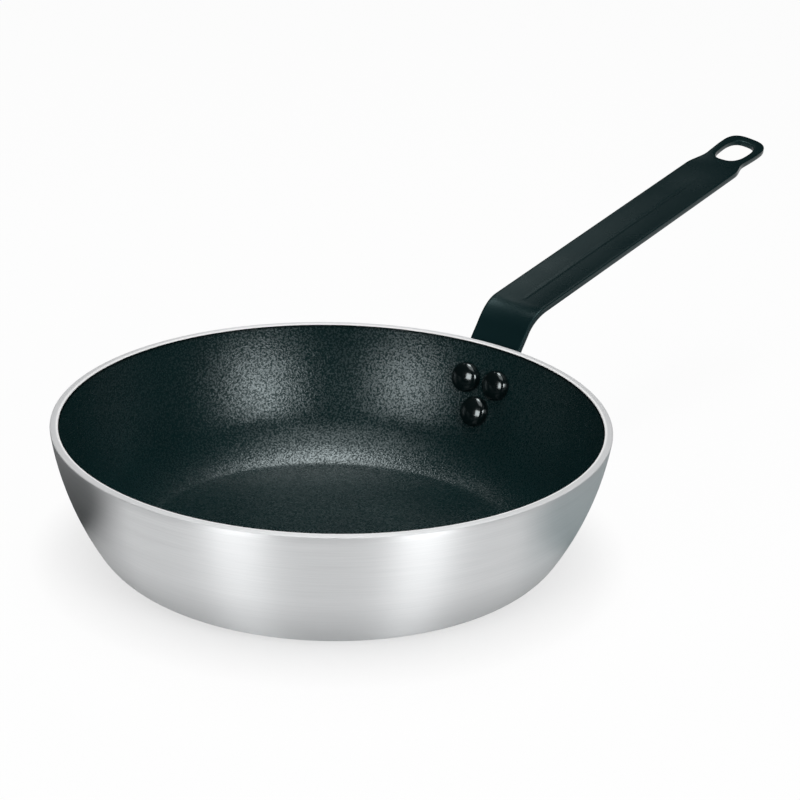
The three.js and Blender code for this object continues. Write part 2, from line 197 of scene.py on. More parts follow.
# Outer wall and inside corner, worked out from the sizes above.
wall_rise = PAN_HEIGHT - CORNER_RADIUS
wall_radius = (WALL_FLARE**2 + wall_rise**2 - CORNER_RADIUS**2) / (
    2 * (WALL_FLARE * math.cos(RIM_LEAN) - wall_rise * math.sin(RIM_LEAN) - CORNER_RADIUS)
)
wall_out = RIM_RADIUS - wall_radius * math.cos(RIM_LEAN)
wall_up = PAN_HEIGHT + wall_radius * math.sin(RIM_LEAN)
base_radius = RIM_RADIUS - WALL_FLARE
corner_angle = math.atan2(wall_up - CORNER_RADIUS, base_radius - wall_out)
inner_wall_radius = wall_radius - SHEET_THICKNESS
edge_out = base_radius - wall_out
edge_up = SHEET_THICKNESS - wall_up
inside_radius = (inner_wall_radius**2 - edge_out**2 - edge_up**2) / (
    2 * (inner_wall_radius - edge_out * math.sin(FLOOR_EDGE_SLOPE) + edge_up * math.cos(FLOOR_EDGE_SLOPE))
)
inside_out = base_radius - inside_radius * math.sin(FLOOR_EDGE_SLOPE)
inside_up = SHEET_THICKNESS + inside_radius * math.cos(FLOOR_EDGE_SLOPE)
inside_angle = math.atan2(wall_up - inside_up, inside_out - wall_out)


def arc(out, up, radius, start, end, steps):
    """Points (out, up) of a round stretch between two angles, both ends included."""
    angles = [start + (end - start) * step / steps for step in range(steps + 1)]
    return [(out + radius * math.cos(a), up + radius * math.sin(a)) for a in angles]


def wall_angle(height, inset):
    """Angle below the horizontal, about the wall arc's centre, of a height on the wall set in by inset."""
    return math.asin((wall_up - height) / (wall_radius - inset))


def wall_point(angle, inset):
    """Place (out, up) at that angle on the wall, set in by inset."""
    radius = wall_radius - inset
    return wall_out + radius * math.cos(angle), wall_up - radius * math.sin(angle)


def outer_skin(top):
    """Rings (radius, height) of the outside, from the edge of the flat base up to top."""
    corner = arc(base_radius, CORNER_RADIUS, CORNER_RADIUS, -math.pi / 2, -corner_angle, CORNER_STEPS)
    wall = arc(wall_out, wall_up, wall_radius, -corner_angle, -wall_angle(top, 0), WALL_STEPS)
    return corner + wall[1:]


def inner_skin(inset, top):
    """Rings of the inside at that inset: edge of the flat floor, tight turn, corner and wall, up to top."""
    radius = inside_radius + SHEET_THICKNESS - inset
    slope = math.acos((inside_up - inset) / radius)
    edge = inside_out + radius * math.sin(slope)
    reach = FLOOR_TURN_RADIUS * math.tan(slope / 2)
    flat = [(edge - FLOOR_TURN_RADIUS, inset)]
    turn_up = inset + FLOOR_TURN_RADIUS
    turn = arc(edge - reach, turn_up, FLOOR_TURN_RADIUS, -math.pi / 2, slope - math.pi / 2, BEVEL_STEPS)
    corner_start = slope + reach / radius - math.pi / 2
    corner = arc(inside_out, inside_up, radius, corner_start, -inside_angle, CORNER_STEPS)
    wall = arc(wall_out, wall_up, wall_radius - inset, -inside_angle, -wall_angle(top, inset), WALL_STEPS)
    return flat + turn + corner[1:] + wall[1:]


# Rivets' places on the wall, and the layers that they hold together.
lining_outer = SHEET_THICKNESS + LINING_GAP
lining_inner = lining_outer + LINING_THICKNESS
strip_middle = -STRIP_GAP - STRIP_THICKNESS / 2
strip_outer = -STRIP_GAP - STRIP_THICKNESS
row_step = RIVET_PITCH * math.sqrt(3) / 2
upper_angle = wall_angle(PAN_HEIGHT - RIVET_DROP, 0)
lower_angle = upper_angle + row_step / (wall_radius - lining_inner)
pair_turn = math.asin(RIVET_PITCH / 2 / wall_point(upper_angle, lining_inner)[0])
RIVET_PLACES = {
    "rivet_upper_left": (upper_angle, pair_turn),
    "rivet_upper_right": (upper_angle, -pair_turn),
    "rivet_lower": (lower_angle, 0),
}


def start_piece(name):
    """The primitive that was just added, as a named piece in edit mode."""
    piece = bpy.context.active_object
    piece.name = name
    piece.data.name = name
    bpy.ops.object.mode_set(mode="EDIT")
    return piece


def select(kind, test):
    """Edit mode: selects the vertices, edges or faces that pass the test, and nothing else."""
    bpy.ops.mesh.select_mode(type=kind)
    bpy.ops.mesh.select_all(action="DESELECT")
    mesh = bpy.context.edit_object.data
    shape = bmesh.from_edit_mesh(mesh)
    for element in {"VERT": shape.verts, "EDGE": shape.edges, "FACE": shape.faces}[kind]:
        if test(element):
            element.select_set(True)
    shape.select_flush_mode()
    bmesh.update_edit_mesh(mesh)


def grow_rings(rings):
    """Edit mode: extrudes the selected ring through each next (radius, height)."""
    for (radius, height), (next_radius, next_height) in zip(rings, rings[1:]):
        step = (0, 0, next_height - height)
        bpy.ops.mesh.extrude_region_move(TRANSFORM_OT_translate={"value": step})
        size = next_radius / radius
        bpy.ops.transform.resize(value=(size, size, 1), center_override=(0, 0, 0))


def apply_modifier(piece, kind, **settings):
    """Object mode: adds one modifier with its settings and applies it."""
    modifier = piece.modifiers.new(kind, kind)
    for name, value in settings.items():
        setattr(modifier, name, value)
    bpy.ops.object.modifier_apply(modifier=modifier.name)


def finish_piece(piece, node, material):
    """Object mode: settles the piece's place, shading and material, and stands it in for its CAD node."""
    bpy.ops.object.transform_apply(location=True, rotation=True, scale=True)
    bpy.ops.object.shade_smooth_by_angle(angle=SMOOTH_ANGLE)
    piece.data.materials.clear()
    piece.data.materials.append(material)
    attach(piece, "root")
    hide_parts(node)


def cut_rivet_holes(piece):
    """Object mode: drills the three rivet holes square through the wall."""
    for angle, turn in RIVET_PLACES.values():
        out, up = wall_point(angle, 0)
        bpy.ops.object.select_all(action="DESELECT")
        bpy.ops.mesh.primitive_cylinder_add(
            vertices=RIVET_SEGMENTS,
            radius=SHANK_RADIUS + RIVET_CLEARANCE,
            depth=CUTTER_REACH * (lining_inner - strip_outer),
            location=(out * math.cos(turn), out * math.sin(turn), up),
            rotation=(0, angle - math.pi / 2, turn),
        )
        drill = bpy.context.active_object
        bpy.context.view_layer.objects.active = piece
        apply_modifier(piece, "BOOLEAN", operation="DIFFERENCE", solver="EXACT", object=drill)
        bpy.data.objects.remove(drill)
    bpy.ops.object.select_all(action="DESELECT")
    piece.select_set(True)


def is_rim_edge(edge):
    """True for an edge that runs round the rim, on its inner or outer corner."""
    first, second = (vert.co for vert in edge.verts)
    level = min(first.z, second.z) > PAN_HEIGHT - SAME_PLACE
    return level and abs(first.xy.length - second.xy.length) < SAME_PLACE


def make_shell(material):
    """The pan itself: a disc drawn up ring by ring to the rim, and down again inside to the floor."""
    bpy.ops.object.select_all(action="DESELECT")
    bpy.ops.mesh.primitive_circle_add(vertices=PAN_SEGMENTS, radius=base_radius, fill_type="TRIFAN")
    shell = start_piece("pan_shell")
    select("EDGE", lambda edge: edge.is_boundary)
    grow_rings(outer_skin(PAN_HEIGHT) + inner_skin(SHEET_THICKNESS, PAN_HEIGHT)[::-1])
    bpy.ops.mesh.edge_face_add()
    bpy.ops.mesh.poke()
    middle = RIM_RADIUS - SHEET_THICKNESS / 2
    select("EDGE", lambda edge: is_rim_edge(edge) and edge.verts[0].co.xy.length > middle)
    bpy.ops.mesh.bevel(offset=RIM_OUTER_RADIUS, segments=BEVEL_STEPS, affect="EDGES")
    inner_side = middle - RIM_OUTER_RADIUS
    select("EDGE", lambda edge: is_rim_edge(edge) and edge.verts[0].co.xy.length < inner_side)
    bpy.ops.mesh.bevel(offset=RIM_INNER_RADIUS, segments=BEVEL_STEPS, affect="EDGES")
    bpy.ops.mesh.select_all(action="SELECT")
    bpy.ops.mesh.normals_make_consistent(inside=False)
    bpy.ops.object.mode_set(mode="OBJECT")
    cut_rivet_holes(shell)
    finish_piece(shell, "pan_body", material)


def make_lining(material):
    """The non-stick coat: a disc drawn up the inside of the wall, thickened towards the wall."""
    rings = inner_skin(lining_inner, PAN_HEIGHT - LINING_DROP)
    bpy.ops.object.select_all(action="DESELECT")
    bpy.ops.mesh.primitive_circle_add(
        vertices=PAN_SEGMENTS, radius=rings[0][0], fill_type="TRIFAN", location=(0, 0, lining_inner)
    )
    lining = start_piece("lining_coat")
    select("EDGE", lambda edge: edge.is_boundary)
    grow_rings(rings)
    bpy.ops.object.mode_set(mode="OBJECT")
    apply_modifier(lining, "SOLIDIFY", thickness=LINING_THICKNESS, offset=-1, use_even_offset=True)
    cut_rivet_holes(lining)
    finish_piece(lining, "nonstick_lining", material)


def rivet_rings():
    """Rings of a rivet along Z, from the tail's crown to the head's. The shell's outer face is at z = 0."""
    head_seat = lining_inner + HEAD_RADIUS**2 / (2 * RIM_RADIUS) + RIVET_CLEARANCE
    tail_seat = strip_outer - RIVET_CLEARANCE
    tail_ball = (TAIL_RADIUS**2 + TAIL_HEIGHT**2) / (2 * TAIL_HEIGHT)
    tail_up = tail_seat - TAIL_HEIGHT + tail_ball
    tail_spread = math.asin(TAIL_RADIUS / tail_ball)
    tail = arc(0, tail_up, tail_ball, -math.pi / 2, tail_spread - math.pi / 2, ARC_STEPS)
    crown_up = head_seat + HEAD_HEIGHT - HEAD_CROWN_RADIUS
    shoulder_out = HEAD_RADIUS - HEAD_SHOULDER_RADIUS
    shoulder_lean = math.asin(shoulder_out / (HEAD_CROWN_RADIUS - HEAD_SHOULDER_RADIUS))
    shoulder_up = crown_up + (HEAD_CROWN_RADIUS - HEAD_SHOULDER_RADIUS) * math.cos(shoulder_lean)
    meeting = math.pi / 2 - shoulder_lean
    shoulder = arc(shoulder_out, shoulder_up, HEAD_SHOULDER_RADIUS, 0, meeting, ARC_STEPS)
    crown = arc(0, crown_up, HEAD_CROWN_RADIUS, meeting, math.pi / 2, ARC_STEPS)
    seats = [(SHANK_RADIUS, tail_seat), (SHANK_RADIUS, head_seat), (HEAD_RADIUS, head_seat)]
    return tail[1:] + seats + shoulder + crown[1:-1]


def make_rivets(material):
    """One rivet turned along Z, and a copy of it set square into the wall at each place."""
    rings = rivet_rings()
    first_radius, first_height = rings[0]
    bpy.ops.object.select_all(action="DESELECT")
    bpy.ops.mesh.primitive_circle_add(
        vertices=RIVET_SEGMENTS, radius=first_radius, fill_type="TRIFAN", location=(0, 0, first_height)
    )
    pattern = start_piece("rivet_pattern")
    select("EDGE", lambda edge: edge.is_boundary)
    grow_rings(rings)
    bpy.ops.mesh.edge_face_add()
    bpy.ops.mesh.poke()
    bpy.ops.mesh.select_all(action="SELECT")
    bpy.ops.mesh.normals_make_consistent(inside=False)
    bpy.ops.object.mode_set(mode="OBJECT")
    bpy.ops.object.transform_apply(location=True, rotation=True, scale=True)
    for node, (angle, turn) in RIVET_PLACES.items():
        bpy.ops.object.select_all(action="DESELECT")
        pattern.select_set(True)
        bpy.context.view_layer.objects.active = pattern
        bpy.ops.object.duplicate(linked=False)
        rivet = bpy.context.active_object
        rivet.name = f"domed_{node}"
        rivet.data.name = rivet.name
        out, up = wall_point(angle, 0)
        rivet.location = (out * math.cos(turn), out * math.sin(turn), up)
        rivet.rotation_euler = (0, angle - math.pi / 2, turn)
        finish_piece(rivet, node, material)
    bpy.data.objects.remove(pattern)


# Stations along the handle strip's middle line, measured from the root's lower end.
strip_radius = wall_radius - strip_middle
root_end_angle = lower_angle + ROOT_END_RADIUS / strip_radius
leave_angle = upper_angle - ROOT_CONTACT_LENGTH / strip_radius
grip_lean = math.pi / 2 - GRIP_SLOPE
contact_end = (root_end_angle - leave_angle) * strip_radius
bend_end = contact_end + WALL_BEND_RADIUS * (RISER_LEAN - leave_angle)
riser_end = bend_end + RISER_LENGTH
grip_start = riser_end + GRIP_BEND_RADIUS * (grip_lean - RISER_LEAN)
crease_start = grip_start + CREASE_START
crease_full = crease_start + CREASE_START_LENGTH
grip_end = grip_start + GRIP_LENGTH
trough_fade = grip_end - TROUGH_END_LENGTH
lower_station = ROOT_END_RADIUS
upper_station = contact_end - ROOT_CONTACT_LENGTH
plain_station = upper_station + ROOT_SHOULDER_LENGTH
waist_station = grip_end + NECK_LENGTH
hole_station = waist_station + WAIST_TO_HOLE
eye_half_width = EYE_HOLE_WIDTH / 2 + EYE_SIDE_BAND
eye_station = hole_station + EYE_HOLE_LENGTH / 2 + EYE_END_BAND - EYE_TIP_LENGTH
strip_spread = wall_point(upper_angle, strip_middle)[0] / wall_point(upper_angle, lining_inner)[0]
rivet_side = strip_spread * RIVET_PITCH / 2


def strip_line(station):
    """Place (out, up) on the middle line at a station, and the line's lean off the vertical there."""
    if station <= contact_end:
        angle = root_end_angle - station / strip_radius
        return *wall_point(angle, strip_middle), angle
    out, up = wall_point(leave_angle, strip_middle)
    lean = leave_angle
    stretches = [
        (bend_end - contact_end, WALL_BEND_RADIUS),
        (riser_end - bend_end, None),
        (grip_start - riser_end, GRIP_BEND_RADIUS),
        (math.inf, None),
    ]
    left = station - contact_end
    for length, radius in stretches:
        step = min(left, length)
        if radius is None:
            out += step * math.sin(lean)
            up += step * math.cos(lean)
        else:
            next_lean = lean + step / radius
            out += radius * (math.cos(lean) - math.cos(next_lean))
            up += radius * (math.sin(next_lean) - math.sin(lean))
            lean = next_lean
        left -= step
        if left <= 0:
            break
    return out, up, lean


def span(start, end, steps):
    """Even steps between two values, without the values themselves."""
    return [start + (end - start) * step / steps for step in range(1, steps)]


def smooth_share(value, start, end):
    """0 up to the start, 1 from the end on, and eased between them."""
    share = min(1, max(0, (value - start) / (end - start)))
    return share * share * (3 - 2 * share)


def ease(start, end):
    """Points of an eased edge between two (station, half width) points, level at both ends."""
    points = []
    for station in span(start[0], end[0], ARC_STEPS):
        rise = smooth_share(station, start[0], end[0])
        points.append((station, start[1] + rise * (end[1] - start[1])))
    return points


def rounded(half_length, half_width, angle):
    """Point of the eye's rounded outlines, at an angle about their middle."""
    power = 2 / EYE_SQUARENESS
    along = math.copysign(abs(math.cos(angle)) ** power, math.cos(angle))
    across = math.copysign(abs(math.sin(angle)) ** power, math.sin(angle))
    return half_length * along, half_width * across


def blank_edge():
    """One long side of the flat blank, from the root's end to the eye's tip: (station, half width)."""
    lobe = (upper_station, rivet_side)
    rise = math.atan2(lobe[1], lobe[0] - lower_station)
    reach = math.hypot(lobe[1], lobe[0] - lower_station)
    tangent = rise + math.acos((ROOT_END_RADIUS - ROOT_LOBE_RADIUS) / reach)
    shoulder = arc(*lobe, ROOT_LOBE_RADIUS, tangent, math.pi / 2, ARC_STEPS)
    riser_foot = (plain_station, RISER_WIDTH / 2)
    riser_top = (riser_end, RISER_WIDTH / 2)
    grip_foot = (grip_start, GRIP_WIDTH / 2)
    grip_top = (grip_end, GRIP_WIDTH / 2)
    waist = (waist_station, eye_half_width - NECK_WAIST)
    eye_side = (eye_station, eye_half_width)
    tip = [rounded(EYE_TIP_LENGTH, eye_half_width, angle) for angle in span(math.pi / 2, 0, EYE_STEPS)]
    return [
        *arc(lower_station, 0, ROOT_END_RADIUS, math.pi, tangent, ARC_STEPS),
        *shoulder,
        *ease(shoulder[-1], riser_foot),
        riser_foot,
        riser_top,
        *ease(riser_top, grip_foot),
        grip_foot,
        grip_top,
        *ease(grip_top, waist),
        waist,
        *ease(waist, eye_side),
        eye_side,
        *[(eye_station + along, half) for along, half in tip],
        (eye_station + EYE_TIP_LENGTH, 0),
    ]


def trough(station, sideways, half):
    """How far the strip's shallow trough, and the grip's crease along it, are pressed in at a place."""
    across = 1 - min(1, abs(sideways) / half) ** 2
    start = smooth_share(station, contact_end, riser_end)
    end = 1 - smooth_share(station, trough_fade, grip_end)
    crease = max(0, 1 - abs(sideways) / CREASE_HALF_WIDTH)
    crease *= smooth_share(station, crease_start, crease_full)
    return (TROUGH_DEPTH * across * start + CREASE_DEPTH * crease) * end


def bend_strip(strip):
    """Lays the flat blank along the middle line, presses the trough in and wraps the root round the wall."""
    for vertex in strip.data.vertices:
        station, sideways, above = vertex.co
        out, up, lean = strip_line(station)
        above -= trough(station, sideways, GRIP_WIDTH / 2)
        twist = EYE_TWIST * smooth_share(station, grip_end, eye_station)
        aside = sideways * math.cos(twist) - above * math.sin(twist)
        raised = sideways * math.sin(twist) + above * math.cos(twist)
        out -= raised * math.cos(lean)
        up += raised * math.sin(lean)
        wrap = 1 - smooth_share(station, contact_end, riser_end)
        wrapped = math.sqrt(out**2 - aside**2)
        vertex.co = (out + wrap * (wrapped - out), aside, up)


def is_level(edge):
    """True for an edge of the blank's outline or holes, on its upper or lower face."""
    first, second = (vert.co for vert in edge.verts)
    return abs(first.z - second.z) < STRIP_THICKNESS / 2


def score(place, across):
    """Edit mode: cuts one row or column of edges right round the blank."""
    bpy.ops.mesh.select_all(action="SELECT")
    bpy.ops.mesh.bisect(plane_co=place, plane_no=across)


def punch_blank(strip):
    """Object mode: punches the hanging eye and the rivet holes through the flat blank."""
    rivet_holes = [(upper_station, rivet_side), (upper_station, -rivet_side), (lower_station, 0)]
    for station, sideways in [*rivet_holes, (hole_station, 0)]:
        bpy.ops.object.select_all(action="DESELECT")
        bpy.ops.mesh.primitive_cylinder_add(
            vertices=RIVET_SEGMENTS,
            radius=SHANK_RADIUS + RIVET_CLEARANCE,
            depth=CUTTER_REACH * STRIP_THICKNESS,
            location=(station, sideways, 0),
        )
        punch = bpy.context.active_object
        if station == hole_station:
            for vertex in punch.data.vertices:
                angle = math.atan2(vertex.co.y, vertex.co.x)
                vertex.co.xy = rounded(EYE_HOLE_LENGTH / 2, EYE_HOLE_WIDTH / 2, angle)
        bpy.context.view_layer.objects.active = strip
        apply_modifier(strip, "BOOLEAN", operation="DIFFERENCE", solver="EXACT", object=punch)
        bpy.data.objects.remove(punch)
    bpy.ops.object.select_all(action="DESELECT")
    strip.select_set(True)


def make_handle(material):
    """The strip handle: a flat blank, punched, its edges eased, scored into rows, and bent to shape."""
    side = blank_edge()
    outline = side + [(station, -half) for station, half in reversed(side[1:-1])]
    bpy.ops.object.select_all(action="DESELECT")
    bpy.ops.mesh.primitive_circle_add(vertices=len(outline), radius=1, fill_type="NGON")
    strip = start_piece("strip_handle")
    bpy.ops.object.mode_set(mode="OBJECT")
    for vertex, (station, sideways) in zip(strip.data.vertices, outline):
        vertex.co = (station, sideways, 0)
    apply_modifier(strip, "SOLIDIFY", thickness=STRIP_THICKNESS, offset=0)
    punch_blank(strip)

    bpy.ops.object.mode_set(mode="EDIT")
    bpy.ops.mesh.select_all(action="SELECT")
    bpy.ops.mesh.normals_make_consistent(inside=False)
    select("EDGE", lambda edge: edge.calc_face_angle(0) > SMOOTH_ANGLE and is_level(edge))
    bpy.ops.mesh.bevel(offset=STRIP_EDGE_RADIUS, segments=BEVEL_STEPS, affect="EDGES")
    rows = [
        *span(0, contact_end, ROOT_ROWS),
        *span(contact_end, bend_end, WALL_BEND_ROWS),
        contact_end,
        bend_end,
        *span(bend_end, riser_end, RISER_ROWS),
        riser_end,
        *span(riser_end, grip_start, GRIP_BEND_ROWS),
        grip_start,
        *span(crease_start, crease_full, CREASE_START_ROWS),
        crease_start,
        crease_full,
        *span(trough_fade, grip_end, TROUGH_END_ROWS),
        trough_fade,
        *span(grip_end, eye_station, NECK_ROWS),
        grip_end,
        eye_station,
    ]
    columns = [-CREASE_HALF_WIDTH, CREASE_HALF_WIDTH, *span(-GRIP_WIDTH / 2, GRIP_WIDTH / 2, STRIP_COLUMNS)]
    for station in rows:
        score((station, 0, 0), (1, 0, 0))
    for sideways in sorted(columns):
        score((0, sideways, 0), (0, 1, 0))
    bpy.ops.object.mode_set(mode="OBJECT")
    bend_strip(strip)
    finish_piece(strip, "handle", material)


def linear(hex_colour):
    """Linear colour, with alpha, of an sRGB hex value."""
    channels = [int(hex_colour[i : i + 2], 16) / 255 for i in (1, 3, 5)]
    return (*(c / 12.92 if c <= 0.04045 else ((c + 0.055) / 1.055) ** 2.4 for c in channels), 1)


def ends(source, target):
    """Settings that map one pair of low and high ends to another."""
    return {"From Min": source[0], "From Max": source[1], "To Min": target[0], "To Max": target[1]}


def tones(dark, light):
    """Settings that mix two colours."""
    return {"data_type": "RGBA", 6: linear(dark), 7: linear(light)}


def add_node(tree, kind, settings=None, links=None):
    """Adds a node. Settings are inputs or properties by name, and links are inputs fed from an output."""
    node = tree.nodes.new(kind)
    for name, value in (settings or {}).items():
        if isinstance(name, int) or name in node.inputs:
            node.inputs[name].default_value = value
        else:
            setattr(node, name, value)
    for name, output in (links or {}).items():
        tree.links.new(output, node.inputs[name])
    return node


def start_material(name):
    """A new material, and its surface shader."""
    material = bpy.data.materials.new(name)
    material.use_nodes = True
    return material, material.node_tree.nodes["Principled BSDF"]


def feed(tree, node, links):
    """Feeds a node's inputs from the outputs of others."""
    for name, output in links.items():
        tree.links.new(output, node.inputs[name])


def spun_aluminium():
    """Aluminium sheet, brushed on the lathe: fine rings that draw reflections out up and down the wall."""
    material, surface = start_material("spun_brushed_aluminium")
    tree = material.node_tree
    place = add_node(tree, "ShaderNodeTexCoord").outputs["Object"]
    level = add_node(tree, "ShaderNodeVectorMath", {"operation": "MULTIPLY", 1: (1, 1, 0)}, {0: place})
    reach = add_node(tree, "ShaderNodeVectorMath", {"operation": "LENGTH"}, {0: level.outputs["Vector"]})
    out = reach.outputs["Value"]
    # X and Y change sign, so that the seam of the brush lines lies on the handle's side of the pan.
    turned = add_node(tree, "ShaderNodeVectorMath", {"operation": "MULTIPLY", 1: (-1, -1, 1)}, {0: place})
    parts = add_node(tree, "ShaderNodeSeparateXYZ", links={0: turned.outputs["Vector"]}).outputs
    height = parts["Z"]
    turn = add_node(tree, "ShaderNodeMath", {"operation": "ARCTAN2"}, {0: parts["Y"], 1: parts["X"]})
    shrink = {"operation": "MULTIPLY", 1: RIM_RADIUS / BRUSH_STRETCH}
    round_way = add_node(tree, "ShaderNodeMath", shrink, {0: turn.outputs[0]}).outputs[0]
    lathe = add_node(tree, "ShaderNodeCombineXYZ", links={"X": out, "Y": height, "Z": round_way})
    line_size = {"Scale": 1 / BRUSH_LINE, "Detail": FINE_DETAIL}
    lines = add_node(tree, "ShaderNodeTexNoise", line_size, {"Vector": lathe.outputs[0]}).outputs["Fac"]
    band_size = {"Scale": 1 / BRUSH_BAND, "Detail": PLAIN_DETAIL}
    bands = add_node(tree, "ShaderNodeTexNoise", band_size, {"Vector": lathe.outputs[0]}).outputs["Fac"]

    # Shares of three zones: painted shade at the foot of the wall, the turned rim, and a painted highlight
    # along the rim's inner edge.
    foot_shade_zone = ends((0, PAINTED_SHADE_HEIGHT), (1, 0))
    foot_shade = add_node(tree, "ShaderNodeMapRange", foot_shade_zone, {"Value": height}).outputs[0]
    rim_zone = ends((PAN_HEIGHT - RIM_OUTER_RADIUS, PAN_HEIGHT - RIM_INNER_RADIUS), (0, 1))
    rim = add_node(tree, "ShaderNodeMapRange", rim_zone, {"Value": height}).outputs[0]
    inner_edge = RIM_RADIUS - SHEET_THICKNESS / math.cos(RIM_LEAN)
    painted_edge_zone = ends((inner_edge + RIM_HIGHLIGHT_BAND / 2, inner_edge + RIM_HIGHLIGHT_BAND), (1, 0))
    edge = add_node(tree, "ShaderNodeMapRange", painted_edge_zone, {"Value": out}).outputs[0]
    painted_highlight = add_node(tree, "ShaderNodeMath", {"operation": "MULTIPLY"}, {0: rim, 1: edge}).outputs[0]

    colour = add_node(tree, "ShaderNodeMix", tones("#dfe1e2", "#eeeff0"), {0: lines}).outputs[2]
    # Painted shade darkens the foot of the wall, and a painted highlight whitens the band along the rim's
    # inner edge.
    for share, tone in ((foot_shade, "#c6c8c9"), (rim, "#e8e9ea"), (painted_highlight, "#ffffff")):
        over = {"data_type": "RGBA", 7: linear(tone)}
        colour = add_node(tree, "ShaderNodeMix", over, {0: share, 6: colour}).outputs[2]
    brushed = add_node(tree, "ShaderNodeMapRange", ends(MOST_NOISE, BRUSH_ROUGHNESS), {"Value": bands})
    matt = add_node(tree, "ShaderNodeMapRange", ends((0, 1), (0, RIM_ROUGHNESS)), {"Value": rim})
    both = {0: brushed.outputs[0], 1: matt.outputs[0]}
    rough = add_node(tree, "ShaderNodeMath", {"operation": "ADD"}, both).outputs[0]
    mirrors = add_node(tree, "ShaderNodeMapRange", ends((0, 1), (1, RIM_METAL)), {"Value": rim})
    outside_highlight = add_node(tree, "ShaderNodeMapRange", ends((0, 1), (1, 0)), {"Value": painted_highlight})
    both = {0: mirrors.outputs[0], 1: outside_highlight.outputs[0]}
    metal = add_node(tree, "ShaderNodeMath", {"operation": "MULTIPLY"}, both).outputs[0]
    relief = {"Strength": BRUSH_BUMP, "Distance": BRUSH_DEPTH}
    bump = add_node(tree, "ShaderNodeBump", relief, {"Height": lines}).outputs[0]
    tangent = add_node(tree, "ShaderNodeTangent", {"direction_type": "RADIAL", "axis": "Z"}).outputs[0]
    surface.inputs["Anisotropic"].default_value = BRUSH_ANISOTROPY
    surface.inputs["Anisotropic Rotation"].default_value = BRUSH_TURN
    feed(tree, surface, {"Base Color": colour, "Metallic": metal, "Roughness": rough})
    feed(tree, surface, {"Normal": bump, "Tangent": tangent})
    return material


def sprayed_nonstick():
    """PTFE coat, sprayed and baked: near black, with a fine grain that sparkles round a mirrored light."""
    material, surface = start_material("sprayed_nonstick")
    tree = material.node_tree
    place = add_node(tree, "ShaderNodeTexCoord").outputs["Object"]
    grain_size = {"Scale": 1 / GRAIN_SIZE, "Detail": SOME_DETAIL}
    grain = add_node(tree, "ShaderNodeTexNoise", grain_size, {"Vector": place}).outputs["Fac"]
    cloud_size = {"Scale": 1 / SPRAY_CLOUD, "Detail": SOME_DETAIL}
    cloud = add_node(tree, "ShaderNodeTexNoise", cloud_size, {"Vector": place}).outputs["Fac"]
    height = add_node(tree, "ShaderNodeSeparateXYZ", links={0: place}).outputs["Z"]
    coat_top = PAN_HEIGHT - LINING_DROP
    painted_edge_zone = ends((coat_top - COAT_TOP_SHADE, coat_top), (0, 1))
    edge = add_node(tree, "ShaderNodeMapRange", painted_edge_zone, {"Value": height}).outputs[0]

    coat = add_node(tree, "ShaderNodeMix", tones("#0a2021", "#10292a"), {0: cloud}).outputs[2]
    # Painted shade: the coat turns near black and loses its gloss along its upper edge, under the rim.
    over = {"data_type": "RGBA", 7: linear("#020505")}
    colour = add_node(tree, "ShaderNodeMix", over, {0: edge, 6: coat}).outputs[2]
    satin = ends(GRAIN_SPREAD, GRAIN_ROUGHNESS)
    rough = add_node(tree, "ShaderNodeMapRange", satin, {"Value": grain}).outputs[0]
    sparkle = add_node(tree, "ShaderNodeMapRange", ends(SPARKLE_SPREAD, SPARKLE_LEVEL), {"Value": grain})
    shine = add_node(tree, "ShaderNodeMapRange", ends((0, 1), (1, 0)), {"Value": edge})
    both = {0: sparkle.outputs[0], 1: shine.outputs[0]}
    gloss = add_node(tree, "ShaderNodeMath", {"operation": "MULTIPLY"}, both).outputs[0]
    relief = {"Strength": GRAIN_BUMP, "Distance": GRAIN_DEPTH}
    bump = add_node(tree, "ShaderNodeBump", relief, {"Height": grain}).outputs[0]
    surface.inputs["Specular Tint"].default_value = linear("#effdff")
    feed(tree, surface, {"Base Color": colour, "Roughness": rough})
    feed(tree, surface, {"Specular IOR Level": gloss, "Normal": bump})
    return material


def worn_coat(tree, coat, worn):
    """Colour of a coat that has rubbed a little paler along the edges."""
    edges = add_node(tree, "ShaderNodeNewGeometry").outputs["Pointiness"]
    share = add_node(tree, "ShaderNodeMapRange", ends(WORN_EDGE, (0, 1)), {"Value": edges}).outputs[0]
    return add_node(tree, "ShaderNodeMix", tones(coat, worn), {0: share}).outputs[2]


def satin_coated_steel():
    """Steel strip with a baked black epoxy coat: satin, with a faint orange peel."""
    material, surface = start_material("satin_coated_steel")
    tree = material.node_tree
    place = add_node(tree, "ShaderNodeTexCoord").outputs["Object"]
    peel_size = {"Scale": 1 / PEEL_SIZE, "Detail": SOME_DETAIL}
    peel = add_node(tree, "ShaderNodeTexNoise", peel_size, {"Vector": place}).outputs["Fac"]
    patch_size = {"Scale": 1 / HANDLED_PATCH, "Detail": FINE_DETAIL}
    handled = add_node(tree, "ShaderNodeTexNoise", patch_size, {"Vector": place}).outputs["Fac"]
    colour = worn_coat(tree, "#0c1f21", "#14292b")
    satin = ends(MOST_NOISE, HANDLE_ROUGHNESS)
    rough = add_node(tree, "ShaderNodeMapRange", satin, {"Value": handled}).outputs[0]
    relief = {"Strength": HANDLE_PEEL_BUMP, "Distance": PEEL_DEPTH}
    bump = add_node(tree, "ShaderNodeBump", relief, {"Height": peel}).outputs[0]
    surface.inputs["Specular IOR Level"].default_value = HANDLE_SPECULAR
    surface.inputs["Specular Tint"].default_value = linear("#c8fcff")
    feed(tree, surface, {"Base Color": colour, "Roughness": rough, "Normal": bump})
    return material


